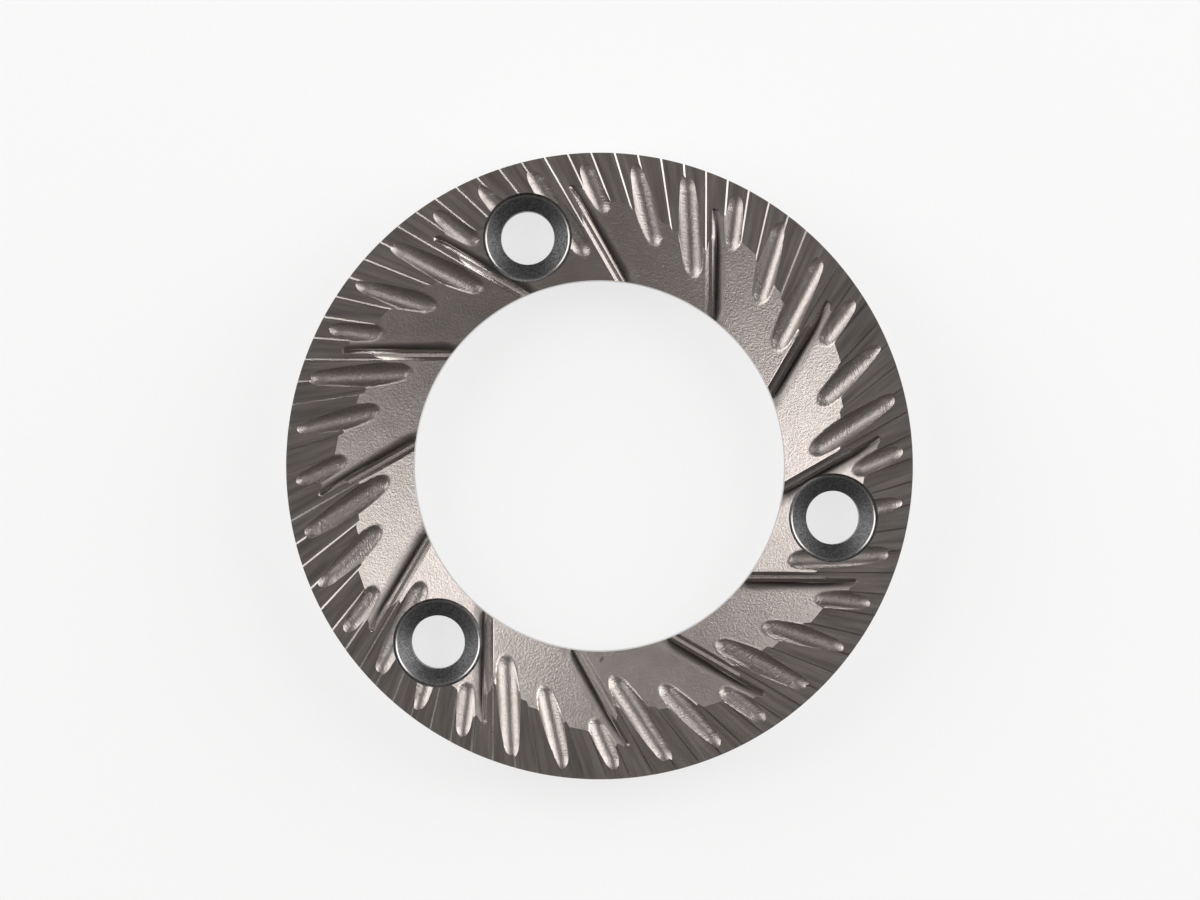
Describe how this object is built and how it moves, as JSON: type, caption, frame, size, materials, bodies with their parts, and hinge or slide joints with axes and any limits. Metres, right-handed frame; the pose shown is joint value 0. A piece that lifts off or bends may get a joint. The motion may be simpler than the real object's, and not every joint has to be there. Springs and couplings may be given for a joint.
{
  "type": "coffee grinder burr",
  "caption": "Flat ring grinding burr with skewed ground teeth, cast feed pockets and breaker ridges on one face, a central bore and countersunk screw holes.",
  "frame": {"origin": "centre of the bore in the plane of the flat back face that the burr lies on", "axes": "+Z along the ring's axis, out of the toothed face; +Y through one of the screw holes"},
  "size_m": [0.064, 0.064, 0.009],
  "materials": {
    "burr": "hardened steel: ground teeth, sandy cast pockets and floors, turned outside, bore and screw seats"
  },
  "bodies": {
    "root": {"burr": "burr"}
  },
  "joints": []
}
